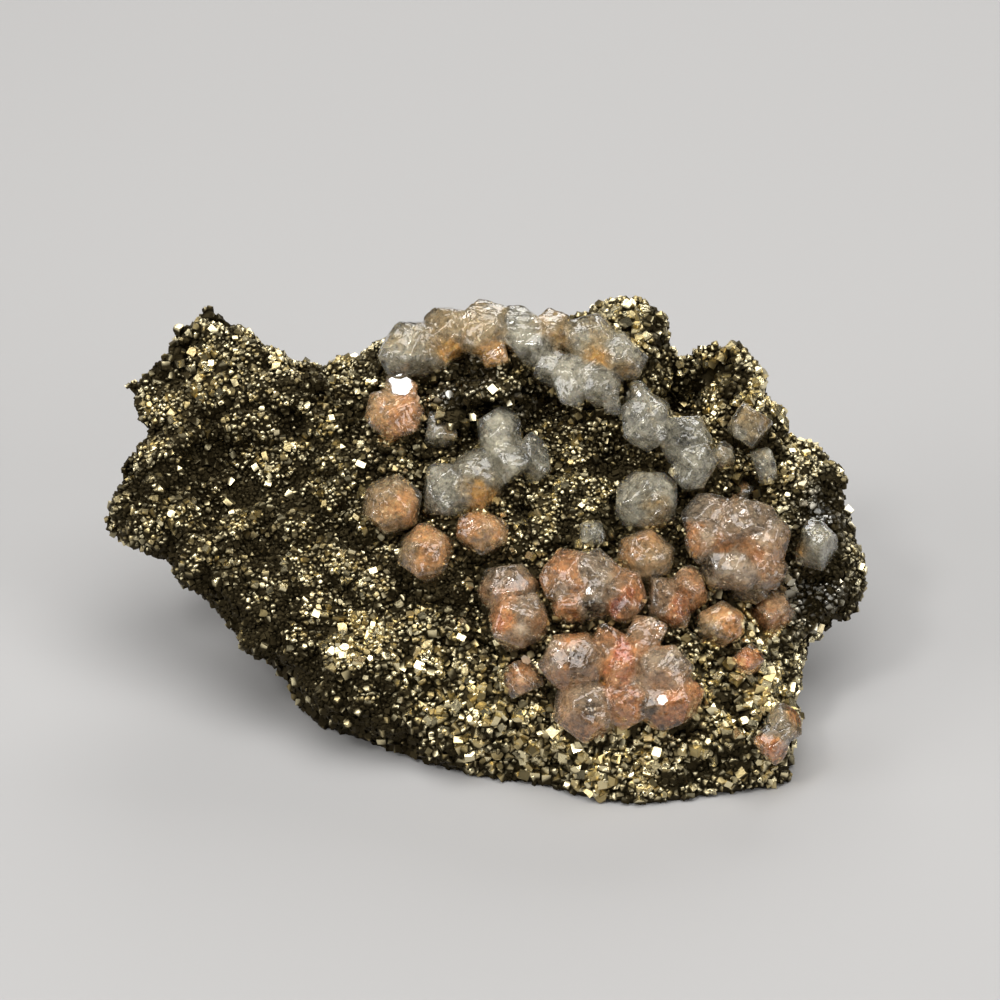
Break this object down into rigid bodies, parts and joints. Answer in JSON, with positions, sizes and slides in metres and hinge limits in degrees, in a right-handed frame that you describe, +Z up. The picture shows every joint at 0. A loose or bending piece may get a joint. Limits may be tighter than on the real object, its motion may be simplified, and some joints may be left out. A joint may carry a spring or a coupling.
{
  "type": "fluorite with pyrite",
  "caption": "Mineral specimen: a leaning lump of glittering drusy pyrite with glassy grey, pink and orange fluorite crystals on its face, standing on a flat trimmed base.",
  "frame": {"origin": "on the flat base, under the middle of the whole specimen's bounding box", "axes": "+Z up from the base; +X along the specimen's length, to the right of someone who faces the crystals; -Y towards the leaning face that carries the crystals"},
  "size_m": [0.0948, 0.0578, 0.0453],
  "materials": {
    "pyrite": "satin",
    "fluorite_grey": "gloss",
    "fluorite_orange": "gloss",
    "fluorite_pink": "gloss"
  },
  "bodies": {
    "root": {"fluorite_ridge_left": "fluorite_grey", "fluorite_ridge_right": "fluorite_grey", "fluorite_ridge_bead": "fluorite_grey", "fluorite_orange_upper": "fluorite_orange", "fluorite_small_upper": "fluorite_grey", "fluorite_centre_group": "fluorite_grey", "fluorite_orange_core": "fluorite_orange", "fluorite_orange_left": "fluorite_orange", "fluorite_brown_centre": "fluorite_orange", "fluorite_tiny_centre": "fluorite_grey", "fluorite_pale_large": "fluorite_grey", "fluorite_olive": "fluorite_orange", "fluorite_brown_right": "fluorite_orange", "fluorite_upper_right": "fluorite_grey", "fluorite_dark_sliver": "fluorite_grey", "fluorite_right_group": "fluorite_pink", "fluorite_edge_right": "fluorite_grey", "fluorite_two_lobed": "fluorite_pink", "fluorite_large_pair": "fluorite_pink", "fluorite_pink_pair": "fluorite_pink", "fluorite_orange_pink": "fluorite_orange", "fluorite_pink_right": "fluorite_pink", "fluorite_red_small": "fluorite_orange", "fluorite_lower_group": "fluorite_pink", "fluorite_pink_small": "fluorite_pink", "fluorite_corner": "fluorite_orange", "pyrite_matrix": "pyrite"}
  },
  "joints": []
}
